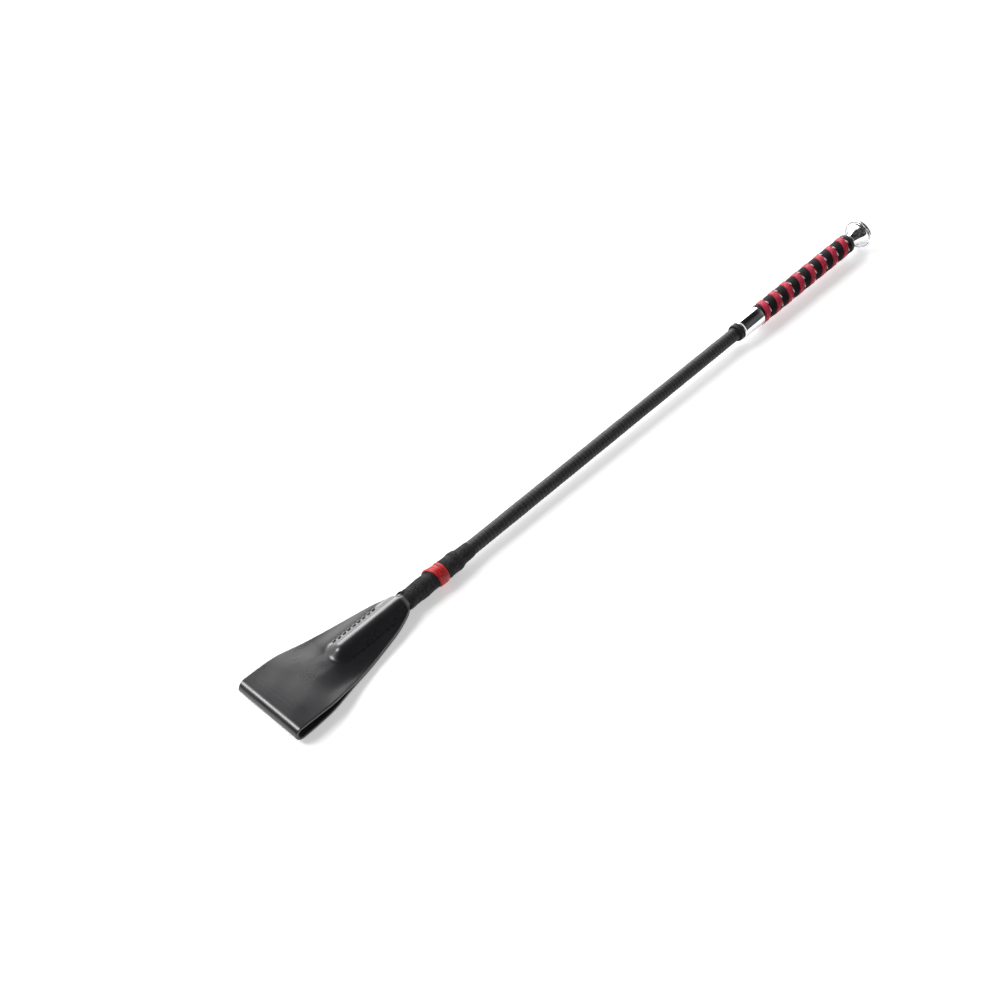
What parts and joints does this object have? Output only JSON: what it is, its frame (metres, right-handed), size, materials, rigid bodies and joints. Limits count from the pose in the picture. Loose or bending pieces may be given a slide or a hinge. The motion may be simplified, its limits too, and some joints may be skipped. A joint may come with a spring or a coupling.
{
  "type": "riding crop",
  "caption": "Riding crop with a braided shaft, a folded leather keeper that flexes at the tip, a strap-wound grip behind a chromed ferrule and a domed pommel.",
  "frame": {"origin": "on the rod's axis at the middle of the hand grip", "axes": "+X along the rod towards the pommel, +Z normal to the keeper's flat, +Y across the keeper"},
  "size_m": [0.65, 0.051, 0.0252],
  "materials": {
    "glass_fibre": "resin-bonded glass fibre, satin",
    "sheath_plastic": "extruded, matt",
    "braid": "tight textile braid, fine diamond weave",
    "cap_rubber": "moulded, matt",
    "keeper_leather": "smooth dyed leather with a soft sheen",
    "stitch_thread": "waxed twisted thread",
    "black_thread": "wound cotton thread",
    "red_thread": "wound satin thread",
    "rim_cord": "rolled braid edge",
    "chrome_plate": "mirror polished",
    "tube_plastic": "extruded tube",
    "bush_plastic": "moulded",
    "strap_black": "ribbed woven tape",
    "strap_red": "corded woven tape with satin sheen",
    "silver_cord": "twisted metallic cord",
    "band_black": "smooth, rolled edge",
    "stud_steel": "zinc-plated screw"
  },
  "bodies": {
    "crop": {"rod_core": "glass_fibre", "rod_sheath": "sheath_plastic", "braid_sleeve": "braid", "rod_tip_cap": "cap_rubber", "keeper_collar": "keeper_leather", "keeper_stitches_left": "stitch_thread", "keeper_stitches_right": "stitch_thread", "whipping_lower": "black_thread", "red_band": "red_thread", "whipping_upper": "black_thread", "whipping_tail": "black_thread", "braid_rim": "rim_cord", "ferrule": "chrome_plate", "grip_tube": "tube_plastic", "grip_bush_front": "bush_plastic", "grip_bush_rear": "bush_plastic", "grip_strap_black": "strap_black", "grip_strap_red": "strap_red", "grip_cord_silver": "silver_cord", "grip_end_band": "band_black", "pommel_flare": "chrome_plate", "pommel_dome": "chrome_plate", "pommel_stud": "stud_steel"},
    "keeper_loop": {"keeper_tongue": "keeper_leather"}
  },
  "joints": [
    {"name": "keeper_flex", "type": "hinge", "parent": "crop", "child": "keeper_loop", "pos_m": [-0.5145, 0, 0], "axis": [0, 1, 0], "range_deg": [-40, 40], "stiffness_Nm_per_rad": 0.03}
  ]
}
